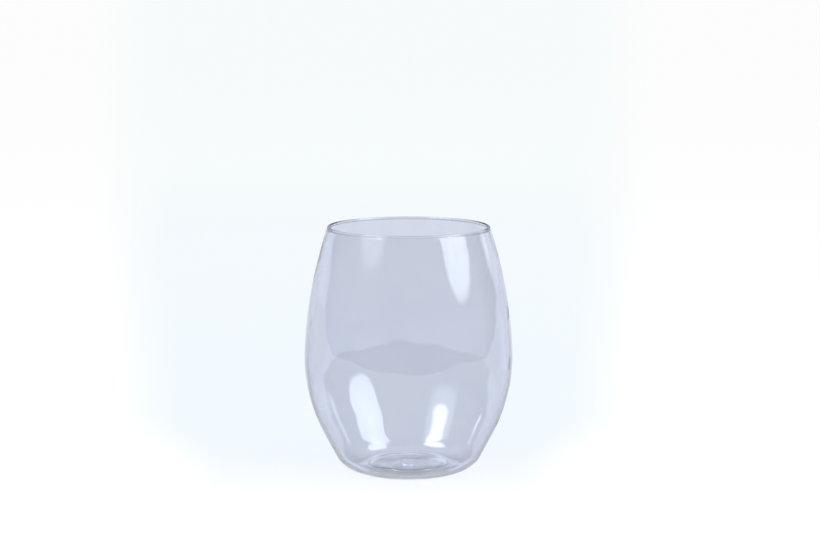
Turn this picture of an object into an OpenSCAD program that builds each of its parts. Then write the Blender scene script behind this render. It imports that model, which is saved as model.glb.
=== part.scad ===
// Clear plastic tumbler cup with a barrel-shaped body, moulded in one piece.
// Millimetres, +Z up. The origin is the centre of the foot, on the surface
// that the cup stands on.

/* [Overall size] */
// Height from the foot to the top of the lip
cup_h = 105; // [96:0.5:114]
// Outside diameter over the lip
rim_d = 69.4; // [64:0.2:75]
// Outside diameter at the belly, where the cup is widest
belly_d = 89; // [82:0.5:96]
// Height of the belly above the foot
belly_h = 49; // [44:0.5:56]

/* [Side curve] */
// Radius of the curve through the belly, seen from the side
belly_r = 70; // [60:1:78]
// Angle above the belly at which the flatter shoulder curve takes over
shoulder_start = 2.75; // [1:0.25:6]
// Lean of the straight lower wall away from upright
lower_lean = 27.5; // [22:0.5:31]
// Radius of the round corner between the lower wall and the foot
heel_r = 12.5; // [9:0.5:16]

/* [Wall and floor] */
// Thickness of the side wall
wall_t = 1.1; // [0.7:0.1:1.8]
// How far the round lip stands proud of each side of the wall
lip_bead = 0.1; // [0.05:0.05:0.4]
// Thickness of the floor, over the foot and over the recess alike
floor_t = 1.1; // [0.8:0.1:1.8]
// Radius of the inside corner between the wall and the floor
inner_heel_r = 11.4; // [9:0.2:13]
// Radius of the upper edge of the raised middle of the floor
step_r = 0.4; // [0.2:0.1:1]

/* [Underside] */
// Width of the flat ring that the cup stands on
foot_w = 3.7; // [2:0.1:5]
// Depth of the round recess inside the foot
recess_h = 2.2; // [2:0.1:3]
// Radius of the recess's inner and outer edges
recess_edge_r = 0.3; // [0.2:0.1:0.6]
// Diameter of the moulding gate's mark at the centre of the recess
gate_d = 4.8; // [3:0.1:6]
// Height of the moulding gate's mark
gate_h = 1.9; // [0.4:0.1:2]

/* [Hidden] */
$fa = 2;
$fs = 0.25;

// Centre of the round lip, on the middle of the wall
lip_r = wall_t / 2 + lip_bead;
lip_c = [rim_d / 2 - lip_r, cup_h - lip_r];
rim_point = lip_c + [wall_t / 2, 0];

// The shoulder has to lean in more than the belly curve does where it takes
// over, so on a cup that hardly narrows above the belly it takes over lower
rim_lean = atan2(belly_d / 2 - rim_point.x, rim_point.y - belly_h);
most_of_lean = 0.8;
shoulder_angle = min(shoulder_start, most_of_lean * rim_lean);

// Centre and ends of the belly curve, as [radius, height]
belly_c = [belly_d / 2 - belly_r, belly_h];
belly_top = belly_c + belly_r * [cos(shoulder_angle), sin(shoulder_angle)];
belly_end = belly_c + belly_r * [cos(lower_lean), -sin(lower_lean)];

// The shoulder curve leaves the belly curve smoothly and ends at the lip
rise = rim_point - belly_top;
shoulder_dir = [cos(shoulder_angle), sin(shoulder_angle)];
shoulder_r = -(rise * rise) / (2 * rise * shoulder_dir);
shoulder_c = belly_top - shoulder_r * shoulder_dir;

// Foot and recess
foot_r = heel_x(0, 0, heel_r);
recess_r = foot_r - foot_w - recess_edge_r;

// Distance from the axis to the centre of a corner of radius r that touches
// both the lower wall, taken depth inside its outer face, and a floor at z
function heel_x(depth, z, r) =
    belly_end.x - (depth + r) * cos(lower_lean)
    - (belly_end.y + (depth + r) * sin(lower_lean) - z - r) * tan(lower_lean);

// Slice of a disc between two heights, right of the axis
module disc_slice(centre, r, low, high) {
    intersection() {
        translate(centre)
            circle(r);
        translate([0, low])
            square([belly_d, high - low]);
    }
}

// Half section of everything inside the body's side curve, taken depth inside
// the outer face, from a floor with corners of radius r up to the height top
module body_section(depth, floor_at, r, top) {
    corner_x = heel_x(depth, floor_at, r);
    corner_top = floor_at + r * (1 - sin(lower_lean));
    curve_r = belly_r - depth;
    curve_low = belly_h - curve_r * sin(lower_lean);
    curve_high = belly_h + curve_r * sin(shoulder_angle);
    // Flat floor inside its round corner
    translate([0, floor_at])
        square([corner_x, corner_top - floor_at]);
    disc_slice([corner_x, floor_at + r], r, floor_at, corner_top);
    // Straight lower wall
    polygon([
        [0, corner_top],
        [corner_x + r * cos(lower_lean), corner_top],
        [belly_c.x + curve_r * cos(lower_lean), curve_low],
        [0, curve_low]
    ]);
    // Belly and shoulder
    disc_slice(belly_c, curve_r, curve_low, curve_high);
    disc_slice(shoulder_c, shoulder_r - depth, curve_high, top);
}

// Half section of a round step from z up to the height top: its upper edge
// has the radius edge_r, and its foot flares out by the radius flare_r
module step_section(side_r, z, top, edge_r, flare_r) {
    square([side_r - edge_r, top]);
    square([side_r, top - edge_r]);
    translate([side_r - edge_r, top - edge_r])
        circle(edge_r);
    difference() {
        translate([0, z])
            square([side_r + flare_r, flare_r]);
        translate([side_r + flare_r, z + flare_r])
            circle(flare_r);
    }
}

module tumbler() {
    color([0.78, 0.80, 0.87, 0.35]) {
        rotate_extrude() {
            difference() {
                body_section(0, 0, heel_r, lip_c.y);
                // The drink's space, whose floor is raised over the recess
                difference() {
                    body_section(wall_t, floor_t, inner_heel_r, lip_c.y);
                    step_section(
                        recess_r + floor_t, floor_t, recess_h + floor_t,
                        step_r, recess_edge_r
                    );
                }
                step_section(recess_r, 0, recess_h, recess_edge_r, recess_edge_r);
            }
            translate(lip_c)
                circle(lip_r);
        }
        // Mark left by the moulding gate, under the centre of the floor
        translate([0, 0, recess_h - gate_h])
            cylinder(h = gate_h + floor_t / 2, d = gate_d);
    }
}

tumbler();
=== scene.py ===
"""Clear plastic tumbler cup in a plain pale studio."""
import math

import bpy
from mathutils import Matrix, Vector


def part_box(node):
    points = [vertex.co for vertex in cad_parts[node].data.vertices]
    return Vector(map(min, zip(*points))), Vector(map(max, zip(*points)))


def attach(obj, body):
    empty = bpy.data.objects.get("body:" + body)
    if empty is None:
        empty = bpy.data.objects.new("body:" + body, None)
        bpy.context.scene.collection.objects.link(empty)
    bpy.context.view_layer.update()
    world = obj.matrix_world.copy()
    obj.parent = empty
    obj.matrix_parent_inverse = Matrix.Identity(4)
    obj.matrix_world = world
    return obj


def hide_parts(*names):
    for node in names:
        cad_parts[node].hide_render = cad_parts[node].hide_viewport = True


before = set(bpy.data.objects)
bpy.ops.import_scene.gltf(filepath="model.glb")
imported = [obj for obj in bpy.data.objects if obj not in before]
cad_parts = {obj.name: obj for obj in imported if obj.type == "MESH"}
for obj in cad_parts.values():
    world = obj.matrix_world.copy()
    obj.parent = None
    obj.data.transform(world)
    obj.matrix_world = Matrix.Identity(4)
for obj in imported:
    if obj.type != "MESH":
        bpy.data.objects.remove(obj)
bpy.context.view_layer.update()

MM = 0.001

# The cup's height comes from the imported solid
cup_low, cup_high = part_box("tumbler")
CUP_H = (cup_high.z - cup_low.z) / MM

# Its other sizes are those of the solid, in millimetres
RIM_D = 69.4
BELLY_D = 89.0
BELLY_H = 49.0
BELLY_R = 70.0
SHOULDER_START = math.radians(2.75)
LOWER_LEAN = math.radians(27.5)
HEEL_R = 12.5
WALL_T = 1.1
LIP_BEAD = 0.1
FLOOR_T = 1.1
INNER_HEEL_R = 11.4
STEP_R = 0.4
FOOT_W = 3.7
RECESS_H = 2.2
RECESS_EDGE_R = 0.3
GATE_D = 4.8
GATE_H = 1.9

# The solid leaves the edge of the gate's mark sharp
GATE_EDGE_R = 0.3

# The round lip and the belly curve, with their centres as (radius, height)
LIP_R = WALL_T / 2 + LIP_BEAD
LIP_C = (RIM_D / 2 - LIP_R, CUP_H - LIP_R)
BELLY_C = (BELLY_D / 2 - BELLY_R, BELLY_H)

# Steps of the mesh around the axis and along the section
SEGMENTS = 280
BELLY_STEP = math.radians(1.0)
BELLY_STEPS = math.ceil((LOWER_LEAN + SHOULDER_START) / BELLY_STEP)
SHOULDER_STEPS = 48
LIP_STEPS = 30
HEEL_STEPS = 24
EDGE_STEPS = 10
GATE_EDGE_STEPS = 6
FLOOR_STEPS = 12
WALL_STEPS = 8
GATE_STEPS = 4
SHORT_STEPS = 3

# The camera stands where the photograph was taken from
CAMERA_DISTANCE = 0.870
CAMERA_HEIGHT = 0.2125
CAMERA_SIDE = 0.0006
CAMERA_PITCH = math.radians(8.366)
CAMERA_LENS = 90.65
SENSOR_WIDTH = 36.0
NEAR_CLIP = 0.01
FAR_CLIP = 100.0

# Plastic. Its near wall is cloudy, and its far wall is seen through the near one. The far wall's
# tint is lighter than the near one's, a painted reflection that stands in for light the near
# wall reflects
PLASTIC_IOR = 1.57
NEAR_TINT = (0.730, 0.745, 0.838)
CLOUD_TINT = (0.712, 0.730, 0.831)
FAR_TINT_PAINTED_REFLECTION = (0.888, 0.896, 0.915)
CLOUD_SCALE = 55.0
CLOUD_DETAIL = 2.0
WAVE_SCALE = 70.0
WAVE_DETAIL = 1.5
WAVE_HEIGHT = 0.00016

# A wall's tint in its shadow, and the share of the light that gets through it
SHADOW_TINT = (0.791, 0.803, 0.869)
SHADOW_LIGHT = 0.92

# The floor as the camera sees it. Its even share glows and takes no shadow. Its colour is
# painted darker near and behind the cup and lighter far back, in front and at its sides: painted
# shade and painted light
FLOOR_SIZE = 30.0
BACKGROUND = (0.871, 0.922, 0.965)
BACKGROUND_FAR = (0.950, 0.990, 0.998)
# Painted light on the floor in front of the cup and at its sides
FLOOR_PAINTED_LIGHT = (1.01, 1.01, 1.01)
# A painted contact shadow on the floor right under the cup
PAINTED_CONTACT_SHADOW = (0.53, 0.545, 0.515)
EVEN_SHARE = 0.92
GRAIN = 0.012
GRAIN_SCALE = 400.0
GRAIN_DETAIL = 2.0

# The floor's painted light at its sides fans out from a point in front of the cup
FAN_START = -0.87
FAN_TURN = 0.018
FAN_NARROWING = 0.045

# The floor as the plastic mirrors it is a pale sheet in a dark room
SHEET = (0.57, 0.57, 0.58)
SHEET_BACK = (0.56, 0.59, 0.63)
SHEET_MIDDLE = (0.78, 0.82, 0.86)
SHEET_ASIDE = (0.47, 0.47, 0.45)
ROOM = (0.055, 0.055, 0.065)

# Borders of the sheet, whose sides spread with the distance behind the cup
FRONT_BORDER = -0.305
LEFT_BORDER = -0.60
RIGHT_BORDER = 0.49
LEFT_SPREAD = 2.47
RIGHT_SPREAD = 1.48

# The surroundings in reflections: a backdrop, darkness over it, a paler part high up
BACKDROP = (0.665, 0.70, 0.765)
UPPER = (0.30, 0.31, 0.34)
HIGH = math.sin(math.radians(38))
HIGH_SOFTNESS = 0.06

# The surroundings otherwise: the ceiling, and the even light that falls on the floor
CEILING = (0.50, 0.51, 0.54)
FILL = (0.62, 0.62, 0.62)

# What is seen after several reflections inside the plastic, in front and behind
INNER_GLOW = (0.80, 0.85, 0.97)
INNER_GLOW_BACK = (0.12, 0.13, 0.17)

# How much brighter a reflection in the far wall is made
BACK_BOOST = 2.3
LAMP_BACK_BOOST = 1.75

# Least distances that slopes are worked out with, so that no division runs away
LEAST_DEPTH = 0.05
LEAST_FAN_DEPTH = 0.1

# Soft edges, from where they are 0 to where they are 1, as places in metres
FAR_EDGE = (0.0, 1.6)
FRONT_EDGE = (0.03, -0.09)
NARROWING_EDGE = (0.12, -0.06)
CONTACT_EDGE = (0.0235, 0.0165)
SHEET_BACK_EDGE = (-0.04, 0.08)
BEHIND_EDGE = (0.04, 0.12)
# Edges of a dark band that is painted across the floor under the cup and shown only after
# several reflections: a painted reflection
DARK_LINE_FRONT = (0.0105, 0.0125)
DARK_LINE_BACK = (0.0175, 0.0160)

# Soft edges as slopes, seen from above or from the side
SIDES_EDGE = (0.095, 0.140)
MIDDLE_LEFT = (-0.85, -0.35)
MIDDLE_RIGHT = (0.90, 0.40)
ASIDE_EDGE = (-0.60, -1.20)
BACKDROP_TOP = (0.20, 0.34)

# Soft edges as shares of a direction, of noise or of a lamp's outline
BACKDROP_SIDE = (-0.03, 0.09)
HIGH_EDGE = (HIGH - HIGH_SOFTNESS, HIGH + HIGH_SOFTNESS)
GLOW_BACK_EDGE = (0.0, 0.25)
CLOUD_EDGE = (0.42, 0.70)
CORE_EDGE = (0.9, 0.1)

# Lamps
LAMP_AIM = Vector((0.0, 0.0, 0.05))
LAMP_DISTANCE = 0.95
LAMP_COLOUR = (0.93, 0.99, 1.0)
LAMP_ROUNDNESS = 2.3
LAMP_MOTTLE = 0.5
MOTTLE_SCALE = 6.0
MOTTLE_DETAIL = 1.0
HOT_CORE = 0.25
DEEP_DIMMING = 0.7

# Colour sockets of a Mix node, by number because other sockets share their names
MIX_FIRST = 6
MIX_SECOND = 7
MIX_RESULT = 2


def polar(centre, radius, angle):
    """The point at a distance and an angle from a centre."""
    return (centre[0] + radius * math.cos(angle), centre[1] + radius * math.sin(angle))


def arc(centre, radius, start, end, steps):
    """Points along an arc from the angle start to the angle end, both included."""
    return [polar(centre, radius, start + (end - start) * k / steps) for k in range(steps + 1)]


def line(a, b, steps):
    """Points on a straight line after a, up to b."""
    return [
        (a[0] + (b[0] - a[0]) * k / steps, a[1] + (b[1] - a[1]) * k / steps)
        for k in range(1, steps + 1)
    ]


def corner_centre(depth, floor_z, corner_r):
    """The centre of a corner that touches a floor and the lower wall at a depth in it."""
    end_x, end_z = polar(BELLY_C, BELLY_R, -LOWER_LEAN)
    reach = depth + corner_r
    drop = end_z + reach * math.sin(LOWER_LEAN) - floor_z - corner_r
    x = end_x - reach * math.cos(LOWER_LEAN) - drop * math.tan(LOWER_LEAN)
    return (x, floor_z + corner_r)


def shoulder_circle():
    """Centre and radius of the shoulder, which goes on from the belly up to the lip."""
    start = polar(BELLY_C, BELLY_R, SHOULDER_START)
    rise = (LIP_C[0] + WALL_T / 2 - start[0], LIP_C[1] - start[1])
    along = rise[0] * math.cos(SHOULDER_START) + rise[1] * math.sin(SHOULDER_START)
    radius = -(rise[0] ** 2 + rise[1] ** 2) / (2 * along)
    return polar(start, -radius, SHOULDER_START), radius


def side_curve(depth, floor_z, corner_r):
    """The side from a floor up to the lip, taken depth inside the outer face."""
    centre = corner_centre(depth, floor_z, corner_r)
    corner = arc(centre, corner_r, -math.pi / 2, -LOWER_LEAN, HEEL_STEPS)
    belly = arc(BELLY_C, BELLY_R - depth, -LOWER_LEAN, SHOULDER_START, BELLY_STEPS)
    wall = line(corner[-1], belly[0], WALL_STEPS)
    shoulder_c, shoulder_r = shoulder_circle()
    under_lip = math.sqrt(LIP_R**2 - (WALL_T / 2) ** 2)
    end = math.asin((LIP_C[1] - under_lip - shoulder_c[1]) / (shoulder_r - depth))
    shoulder = arc(shoulder_c, shoulder_r - depth, SHOULDER_START, end, SHOULDER_STEPS)
    return corner + wall[:-1] + belly + shoulder[1:]


def lip_curve(start, end):
    """The round lip, over its top from the inner face to the outer one."""
    start_angle = math.atan2(start[1] - LIP_C[1], start[0] - LIP_C[0])
    end_angle = math.atan2(end[1] - LIP_C[1], end[0] - LIP_C[0])
    return arc(LIP_C, LIP_R, start_angle % (2 * math.pi), end_angle, LIP_STEPS)[1:-1]


def floor_curve(recess_r, corner_start):
    """The floor inside the cup, from its raised middle out to the wall's corner."""
    edge = RECESS_EDGE_R
    step_x = recess_r + FLOOR_T
    step_z = RECESS_H + FLOOR_T
    step_top = arc((step_x - STEP_R, step_z - STEP_R), STEP_R, math.pi / 2, 0.0, EDGE_STEPS)
    step_foot = arc(
        (step_x + edge, FLOOR_T + edge), edge, math.pi, 1.5 * math.pi, EDGE_STEPS
    )
    raised = [(0.0, step_z)] + line((0.0, step_z), step_top[0], FLOOR_STEPS)
    trough = line(step_foot[-1], corner_start, SHORT_STEPS)
    return raised + step_top[1:] + step_foot + trough[:-1]


def underside_curve(foot_r, recess_r):
    """The flat foot, the recess and the gate's mark, from the heel in to the axis."""
    edge = RECESS_EDGE_R
    foot = line((foot_r, 0.0), (recess_r + edge, 0.0), SHORT_STEPS)
    low_edge = arc((recess_r + edge, edge), edge, -math.pi / 2, -math.pi, EDGE_STEPS)
    high_edge = arc((recess_r - edge, RECESS_H - edge), edge, 0.0, math.pi / 2, EDGE_STEPS)
    gate_r = GATE_D / 2
    gate_z = RECESS_H - GATE_H
    rounding_c = (gate_r - GATE_EDGE_R, gate_z + GATE_EDGE_R)
    ceiling = line(high_edge[-1], (gate_r, RECESS_H), FLOOR_STEPS)
    gate_side = line(ceiling[-1], (gate_r, rounding_c[1]), SHORT_STEPS)
    gate_edge = arc(rounding_c, GATE_EDGE_R, 0.0, -math.pi / 2, GATE_EDGE_STEPS)
    gate = line(gate_edge[-1], (0.0, gate_z), GATE_STEPS)
    return foot + low_edge[1:] + high_edge + ceiling[1:] + gate_side + gate_edge[1:] + gate


def cup_section():
    """The cup's closed half section, from the floor's centre to the gate's mark."""
    inside = side_curve(WALL_T, FLOOR_T, INNER_HEEL_R)
    outside = side_curve(0.0, 0.0, HEEL_R)
    foot_r = outside[0][0]
    recess_r = foot_r - FOOT_W - RECESS_EDGE_R
    return (
        floor_curve(recess_r, inside[0])
        + inside
        + lip_curve(inside[-1], outside[-1])
        + outside[::-1]
        + underside_curve(foot_r, recess_r)
    )


def revolve(name, section):
    """Turns a half section that starts and ends on the axis into a closed smooth mesh."""
    rows = section[1:-1]
    verts = [(0.0, 0.0, section[0][1] * MM)]
    for radius, height in rows:
        for k in range(SEGMENTS):
            x, y = polar((0.0, 0.0), radius, 2 * math.pi * k / SEGMENTS)
            verts.append((x * MM, y * MM, height * MM))
    verts.append((0.0, 0.0, section[-1][1] * MM))
    last = len(verts) - 1
    last_row = last - SEGMENTS
    faces = []
    for k in range(SEGMENTS):
        after = (k + 1) % SEGMENTS
        faces.append((0, 1 + k, 1 + after))
        for row in range(len(rows) - 1):
            start = 1 + row * SEGMENTS
            end = start + SEGMENTS
            faces.append((start + k, end + k, end + after, start + after))
        faces.append((last_row + k, last, last_row + after))
    mesh = bpy.data.meshes.new(name)
    mesh.from_pydata(verts, [], faces)
    mesh.polygons.foreach_set("use_smooth", [True] * len(mesh.polygons))
    mesh.update()
    piece = bpy.data.objects.new(name, mesh)
    bpy.context.scene.collection.objects.link(piece)
    return piece


def clean_tree(owner):
    """The node tree of a material, world or lamp, with nothing in it."""
    owner.use_nodes = True
    owner.node_tree.nodes.clear()
    return owner.node_tree


def put(tree, socket, value):
    """Links a socket to another one, or sets it to a number or a colour."""
    if isinstance(value, bpy.types.NodeSocket):
        tree.links.new(value, socket)
    elif isinstance(value, tuple) and len(value) == 3 and socket.type == "RGBA":
        socket.default_value = (*value, 1.0)
    else:
        socket.default_value = value


def maths(tree, operation, *values):
    """The result of a Math node."""
    node = tree.nodes.new("ShaderNodeMath")
    node.operation = operation
    for socket, value in zip(node.inputs, values):
        put(tree, socket, value)
    return node.outputs[0]


def soft_step(tree, value, edge):
    """Goes smoothly from 0 to 1 between the two ends of an edge."""
    node = tree.nodes.new("ShaderNodeMapRange")
    node.interpolation_type = "SMOOTHSTEP"
    put(tree, node.inputs["Value"], value)
    put(tree, node.inputs["From Min"], edge[0])
    put(tree, node.inputs["From Max"], edge[1])
    return node.outputs["Result"]


def both_steps(tree, first, first_edge, second, second_edge):
    """The product of two soft steps."""
    return maths(
        tree,
        "MULTIPLY",
        soft_step(tree, first, first_edge),
        soft_step(tree, second, second_edge),
    )


def blend_colour(tree, factor, first, second):
    """The first colour at a factor of 0, the second at 1."""
    node = tree.nodes.new("ShaderNodeMix")
    node.data_type = "RGBA"
    put(tree, node.inputs["Factor"], factor)
    put(tree, node.inputs[MIX_FIRST], first)
    put(tree, node.inputs[MIX_SECOND], second)
    return node.outputs[MIX_RESULT]


def scaled(tree, colour, factor):
    """A colour made brighter or darker."""
    node = tree.nodes.new("ShaderNodeVectorMath")
    node.operation = "SCALE"
    put(tree, node.inputs[0], colour)
    put(tree, node.inputs["Scale"], factor)
    return node.outputs[0]


def blend_shader(tree, factor, first, second):
    """The first shader at a factor of 0, the second at 1."""
    node = tree.nodes.new("ShaderNodeMixShader")
    put(tree, node.inputs[0], factor)
    tree.links.new(first, node.inputs[1])
    tree.links.new(second, node.inputs[2])
    return node.outputs[0]


def glow(tree, colour, strength=1.0):
    """A shader that gives off light of its own."""
    node = tree.nodes.new("ShaderNodeEmission")
    put(tree, node.inputs["Color"], colour)
    put(tree, node.inputs["Strength"], strength)
    return node.outputs[0]


def noise(tree, vector, scale, detail):
    """Noise from 0 to 1 over the places that a vector gives."""
    node = tree.nodes.new("ShaderNodeTexNoise")
    tree.links.new(vector, node.inputs["Vector"])
    node.inputs["Scale"].default_value = scale
    node.inputs["Detail"].default_value = detail
    return node.outputs["Fac"]


def own_places(tree):
    """Places that are fixed to the piece itself."""
    return tree.nodes.new("ShaderNodeTexCoord").outputs["Object"]


def split_vector(tree, vector):
    """The three parts of a vector, by the names X, Y and Z."""
    node = tree.nodes.new("ShaderNodeSeparateXYZ")
    tree.links.new(vector, node.inputs[0])
    return node.outputs


def path_info(tree, name):
    """What the light path knows about the ray at hand."""
    return tree.nodes.new("ShaderNodeLightPath").outputs[name]


def deeper(tree, kind, count):
    """1 for a ray whose depth of a kind is more than count."""
    return maths(tree, "GREATER_THAN", path_info(tree, kind + " Depth"), count + 0.5)


def mirrored(tree):
    """1 for what a reflection shows."""
    return deeper(tree, "Glossy", 0)


def seen_deep(tree):
    """1 for what is seen only after two or more reflections inside the plastic."""
    return deeper(tree, "Glossy", 1)


def inner_boost(tree, full):
    """Makes up for the tint that a reflection in the far wall passes through twice."""
    one_reflection = maths(tree, "SUBTRACT", 1.0, seen_deep(tree))
    far_wall = maths(tree, "MULTIPLY", deeper(tree, "Transmission", 2), one_reflection)
    return maths(tree, "MULTIPLY_ADD", far_wall, full - 1.0, 1.0)


def clear_plastic():
    """Clear plastic with a faint blue-grey tint, clouds and slight waves in its faces, and a
    lighter tint on its far wall as a painted reflection.
    """
    material = bpy.data.materials.new("clear_plastic")
    tree = clean_tree(material)
    out = tree.nodes.new("ShaderNodeOutputMaterial")
    shader = tree.nodes.new("ShaderNodeBsdfPrincipled")
    shader.inputs["Roughness"].default_value = 0.0
    shader.inputs["IOR"].default_value = PLASTIC_IOR
    shader.inputs["Transmission Weight"].default_value = 1.0
    cloud = soft_step(tree, noise(tree, own_places(tree), CLOUD_SCALE, CLOUD_DETAIL), CLOUD_EDGE)
    near_tint = blend_colour(tree, cloud, NEAR_TINT, CLOUD_TINT)
    # Painted reflection: the far wall's tint is lighter, standing in for light that the near
    # wall reflects
    far_wall = deeper(tree, "Transmission", 1)
    put(tree, shader.inputs["Base Color"], blend_colour(tree, far_wall, near_tint, FAR_TINT_PAINTED_REFLECTION))
    waves = tree.nodes.new("ShaderNodeBump")
    waves.inputs["Strength"].default_value = 1.0
    waves.inputs["Distance"].default_value = WAVE_HEIGHT
    put(tree, waves.inputs["Height"], noise(tree, own_places(tree), WAVE_SCALE, WAVE_DETAIL))
    put(tree, shader.inputs["Normal"], waves.outputs["Normal"])
    # Light for the floor goes straight through both faces of a wall
    open_way = tree.nodes.new("ShaderNodeBsdfTransparent")
    face_tint = tuple(math.sqrt(SHADOW_LIGHT * share) for share in SHADOW_TINT)
    put(tree, open_way.inputs["Color"], face_tint)
    shadow = path_info(tree, "Is Shadow Ray")
    lamp_or_floor = maths(tree, "MAXIMUM", shadow, path_info(tree, "Is Diffuse Ray"))
    surface = blend_shader(tree, lamp_or_floor, shader.outputs["BSDF"], open_way.outputs["BSDF"])
    tree.links.new(surface, out.inputs["Surface"])
    return material


def lit_floor(tree, x, y):
    """1 where painted light makes the floor brightest: in front of the cup and far out at its
    sides.
    """
    depth = maths(tree, "MAXIMUM", maths(tree, "SUBTRACT", y, FAN_START), LEAST_FAN_DEPTH)
    turned = maths(tree, "ADD", maths(tree, "DIVIDE", x, depth), FAN_TURN)
    narrowing = soft_step(tree, y, NARROWING_EDGE)
    narrowing = maths(tree, "MULTIPLY", narrowing, FAN_NARROWING)
    aside = maths(tree, "ADD", maths(tree, "ABSOLUTE", turned), narrowing)
    sides = soft_step(tree, aside, SIDES_EDGE)
    return maths(tree, "MAXIMUM", sides, soft_step(tree, y, FRONT_EDGE))


def contact_shade(tree, x, y):
    """1 where a contact shadow is painted: under the middle of the cup, fading out around its
    foot.
    """
    squares = maths(tree, "ADD", maths(tree, "MULTIPLY", x, x), maths(tree, "MULTIPLY", y, y))
    return soft_step(tree, maths(tree, "SQRT", squares), CONTACT_EDGE)


def floor_colour(tree, x, y):
    """The floor's colour as the camera sees it: painted shade, painted light, a painted contact
    shadow and a fine grain.
    """
    colour = blend_colour(tree, soft_step(tree, y, FAR_EDGE), BACKGROUND, BACKGROUND_FAR)
    colour = blend_colour(tree, lit_floor(tree, x, y), colour, FLOOR_PAINTED_LIGHT)
    # Painted contact shadow under the cup
    colour = blend_colour(tree, contact_shade(tree, x, y), colour, PAINTED_CONTACT_SHADOW)
    grain = noise(tree, own_places(tree), GRAIN_SCALE, GRAIN_DETAIL)
    return scaled(tree, colour, maths(tree, "MULTIPLY_ADD", grain, GRAIN, 1.0 - GRAIN / 2))


def inside_sheet(tree, x, y):
    """1 on the pale sheet under and behind the cup, whose sides spread to the back."""
    back = maths(tree, "MAXIMUM", y, 0.0)
    left = maths(tree, "MULTIPLY_ADD", back, -LEFT_SPREAD, LEFT_BORDER)
    right = maths(tree, "MULTIPLY_ADD", back, RIGHT_SPREAD, RIGHT_BORDER)
    past_left = maths(tree, "GREATER_THAN", x, left)
    before_right = maths(tree, "LESS_THAN", x, right)
    past_front = maths(tree, "GREATER_THAN", y, FRONT_BORDER)
    across = maths(tree, "MULTIPLY", past_left, before_right)
    return maths(tree, "MULTIPLY", across, past_front)


def sheet_colour(tree, x, y):
    """The sheet, brighter straight behind the cup and duller back to the left."""
    slope = maths(tree, "DIVIDE", x, maths(tree, "MAXIMUM", y, LEAST_DEPTH))
    behind = soft_step(tree, y, BEHIND_EDGE)
    middle = both_steps(tree, slope, MIDDLE_LEFT, slope, MIDDLE_RIGHT)
    middle = maths(tree, "MULTIPLY", middle, behind)
    aside = maths(tree, "MULTIPLY", soft_step(tree, slope, ASIDE_EDGE), behind)
    colour = blend_colour(tree, soft_step(tree, y, SHEET_BACK_EDGE), SHEET, SHEET_BACK)
    colour = blend_colour(tree, aside, colour, SHEET_ASIDE)
    return blend_colour(tree, middle, colour, SHEET_MIDDLE)


def mirrored_floor(tree, x, y):
    """The floor's colour in the plastic's reflections."""
    colour = blend_colour(tree, inside_sheet(tree, x, y), ROOM, sheet_colour(tree, x, y))
    # A dark band painted across the floor under the cup, seen only after several reflections: a
    # painted reflection
    dark_line = both_steps(tree, y, DARK_LINE_FRONT, y, DARK_LINE_BACK)
    inner_glow = blend_colour(tree, dark_line, INNER_GLOW, INNER_GLOW_BACK)
    colour = blend_colour(tree, seen_deep(tree), colour, inner_glow)
    return scaled(tree, colour, inner_boost(tree, BACK_BOOST))


def floor_material():
    """Pale floor, which reflections show as a sheet with a dark room around it."""
    material = bpy.data.materials.new("floor")
    tree = clean_tree(material)
    out = tree.nodes.new("ShaderNodeOutputMaterial")
    place = split_vector(tree, tree.nodes.new("ShaderNodeNewGeometry").outputs["Position"])
    colour = floor_colour(tree, place["X"], place["Y"])
    diffuse = tree.nodes.new("ShaderNodeBsdfDiffuse")
    put(tree, diffuse.inputs["Color"], colour)
    seen = blend_shader(tree, EVEN_SHARE, diffuse.outputs[0], glow(tree, colour))
    reflected = glow(tree, mirrored_floor(tree, place["X"], place["Y"]))
    surface = blend_shader(tree, mirrored(tree), seen, reflected)
    tree.links.new(surface, out.inputs["Surface"])
    return material


def backdrop_side(tree, away, spread, sideways):
    """1 inside one side of the backdrop, which spreads with the distance behind."""
    reach = maths(tree, "MULTIPLY_ADD", away["Y"], spread, sideways)
    return soft_step(tree, reach, BACKDROP_SIDE)


def studio_world():
    """Pale surroundings. Reflections show a backdrop behind and a dark room in front."""
    world = bpy.data.worlds.new("studio")
    bpy.context.scene.world = world
    tree = clean_tree(world)
    out = tree.nodes.new("ShaderNodeOutputWorld")
    light = tree.nodes.new("ShaderNodeBackground")
    away = split_vector(tree, tree.nodes.new("ShaderNodeTexCoord").outputs["Generated"])
    leftwards = maths(tree, "MULTIPLY", away["X"], -1.0)
    behind = maths(
        tree,
        "MULTIPLY",
        backdrop_side(tree, away, LEFT_SPREAD, away["X"]),
        backdrop_side(tree, away, RIGHT_SPREAD, leftwards),
    )
    slope = maths(tree, "DIVIDE", away["Z"], maths(tree, "MAXIMUM", away["Y"], LEAST_DEPTH))
    above = soft_step(tree, slope, BACKDROP_TOP)
    high = soft_step(tree, away["Z"], HIGH_EDGE)
    backdrop = blend_colour(tree, above, BACKDROP, ROOM)
    backdrop = blend_colour(tree, high, backdrop, UPPER)
    studio = blend_colour(tree, behind, ROOM, backdrop)
    to_back = soft_step(tree, away["Y"], GLOW_BACK_EDGE)
    inner_glow = blend_colour(tree, to_back, INNER_GLOW, INNER_GLOW_BACK)
    studio = blend_colour(tree, seen_deep(tree), studio, inner_glow)
    studio = scaled(tree, studio, inner_boost(tree, BACK_BOOST))
    open_view = blend_colour(tree, above, BACKGROUND, CEILING)
    plain = blend_colour(tree, deeper(tree, "Diffuse", 0), open_view, FILL)
    colour = blend_colour(tree, mirrored(tree), plain, studio)
    tree.links.new(colour, light.inputs["Color"])
    tree.links.new(light.outputs["Background"], out.inputs["Surface"])


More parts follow.
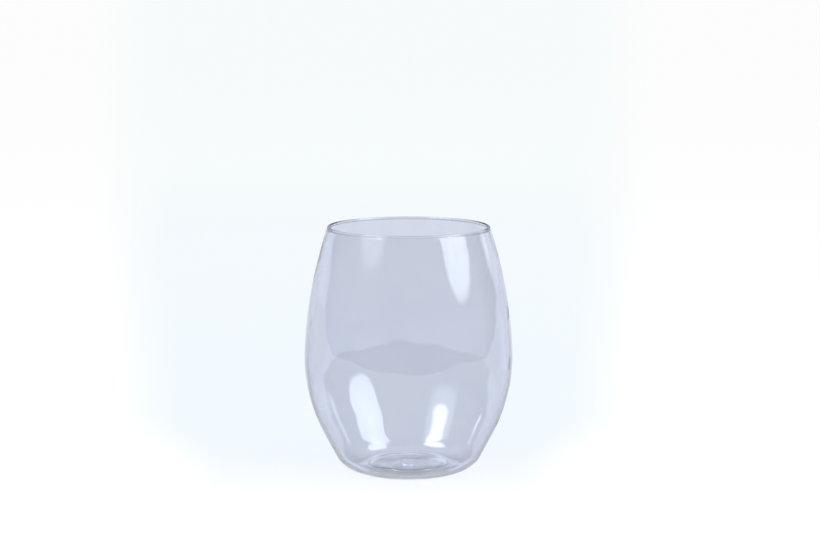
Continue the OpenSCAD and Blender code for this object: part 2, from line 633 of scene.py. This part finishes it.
def lamp_outline(tree, spot, taper):
    """0 at a lamp's middle and 1 at its outline, a rounded box that narrows upwards.

    The places over its face run from 0 to 1 both ways.
    """
    middle = 0.5
    across = maths(tree, "ABSOLUTE", maths(tree, "SUBTRACT", spot["X"], middle))
    along = maths(tree, "ABSOLUTE", maths(tree, "SUBTRACT", spot["Y"], middle))
    half_width = maths(tree, "MULTIPLY_ADD", spot["Y"], (taper - 1.0) * middle, middle)
    across = maths(tree, "DIVIDE", across, half_width)
    along = maths(tree, "DIVIDE", along, middle)
    total = maths(
        tree,
        "ADD",
        maths(tree, "POWER", across, LAMP_ROUNDNESS),
        maths(tree, "POWER", along, LAMP_ROUNDNESS),
    )
    return maths(tree, "POWER", total, 1.0 / LAMP_ROUNDNESS)


def lamp_strength(tree, taper, fade):
    """A lamp's brightness over its face: mottled, with a hot core and a soft edge."""
    face = tree.nodes.new("ShaderNodeNewGeometry").outputs["Parametric"]
    outline = lamp_outline(tree, split_vector(tree, face), taper)
    mottle = noise(tree, face, MOTTLE_SCALE, MOTTLE_DETAIL)
    core = soft_step(tree, outline, CORE_EDGE)
    factors = (
        maths(tree, "MULTIPLY_ADD", mottle, LAMP_MOTTLE, 1.0 - LAMP_MOTTLE / 2),
        maths(tree, "MULTIPLY_ADD", core, HOT_CORE, 1.0),
        inner_boost(tree, LAMP_BACK_BOOST),
        maths(tree, "MULTIPLY_ADD", seen_deep(tree), -DEEP_DIMMING, 1.0),
    )
    strength = soft_step(tree, outline, (1.0, 1.0 - fade))
    for factor in factors:
        strength = maths(tree, "MULTIPLY", strength, factor)
    return strength


def softbox(name, azimuth, elevation, size, taper, radiance, fade):
    """A soft lamp aimed at the cup. Azimuth turns from the front to the right.

    Both angles are in degrees, and size is its width and height in metres. Its
    width shrinks towards its top to the share given by taper. Its edge is soft
    over the share of the way to its middle given by fade.
    """
    data = bpy.data.lights.new(name, "AREA")
    data.shape = "RECTANGLE"
    data.size, data.size_y = size
    data.energy = radiance * math.pi * size[0] * size[1]
    tree = clean_tree(data)
    out = tree.nodes.new("ShaderNodeOutputLight")
    light = glow(tree, LAMP_COLOUR, lamp_strength(tree, taper, fade))
    tree.links.new(light, out.inputs["Surface"])
    lamp = bpy.data.objects.new(name, data)
    bpy.context.scene.collection.objects.link(lamp)
    turn = math.radians(azimuth)
    lift = math.radians(elevation)
    level = math.cos(lift)
    away = Vector((math.sin(turn) * level, -math.cos(turn) * level, math.sin(lift)))
    lamp.location = LAMP_AIM + away * LAMP_DISTANCE
    lamp.rotation_mode = "QUATERNION"
    lamp.rotation_quaternion = away.to_track_quat("Z", "Y")


def make_lamps():
    """The lamps that give the highlights at the shoulder, lower wall, heel and sides."""
    softbox("softbox_right", 68, 37.5, size=(0.88, 1.06), taper=0.55, radiance=3.1, fade=0.14)
    softbox("softbox_left", -55, 48.5, size=(0.58, 0.62), taper=0.30, radiance=4.8, fade=0.3)
    softbox("overhead_left", -93, 64, size=(0.60, 0.46), taper=0.8, radiance=5.0, fade=0.3)
    softbox("overhead_right", 112, 59, size=(0.84, 0.40), taper=0.8, radiance=3.2, fade=0.3)
    softbox("softbox_left_low", -54, 40, size=(0.90, 0.86), taper=0.60, radiance=1.1, fade=0.35)
    softbox("streak_right", 122, 11.5, size=(0.23, 0.25), taper=1.0, radiance=1.0, fade=0.6)
    softbox("streak_left", -125, 15, size=(0.16, 0.07), taper=1.0, radiance=3.1, fade=0.8)


def make_camera():
    """The camera, at the photograph's viewing angle."""
    data = bpy.data.cameras.new("camera")
    data.lens = CAMERA_LENS
    data.sensor_width = SENSOR_WIDTH
    data.clip_start = NEAR_CLIP
    data.clip_end = FAR_CLIP
    camera = bpy.data.objects.new("camera", data)
    bpy.context.scene.collection.objects.link(camera)
    camera.location = (CAMERA_SIDE, -CAMERA_DISTANCE, CAMERA_HEIGHT)
    camera.rotation_euler = (math.pi / 2 - CAMERA_PITCH, 0.0, 0.0)
    bpy.context.scene.camera = camera


make_camera()

cup = revolve("tumbler_body", cup_section())
cup.data.materials.append(clear_plastic())
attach(cup, "root")
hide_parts("tumbler")

bpy.ops.mesh.primitive_plane_add(size=FLOOR_SIZE, location=(0.0, 0.0, 0.0))
floor = bpy.context.object
floor.name = "floor"
floor.data.materials.append(floor_material())

studio_world()
make_lamps()

# Enough bounces for light that runs on inside the wall
cycles = bpy.context.scene.cycles
cycles.max_bounces = 24
cycles.glossy_bounces = 16
cycles.transmission_bounces = 24
cycles.transparent_max_bounces = 24

bpy.context.scene.view_settings.view_transform = "Standard"
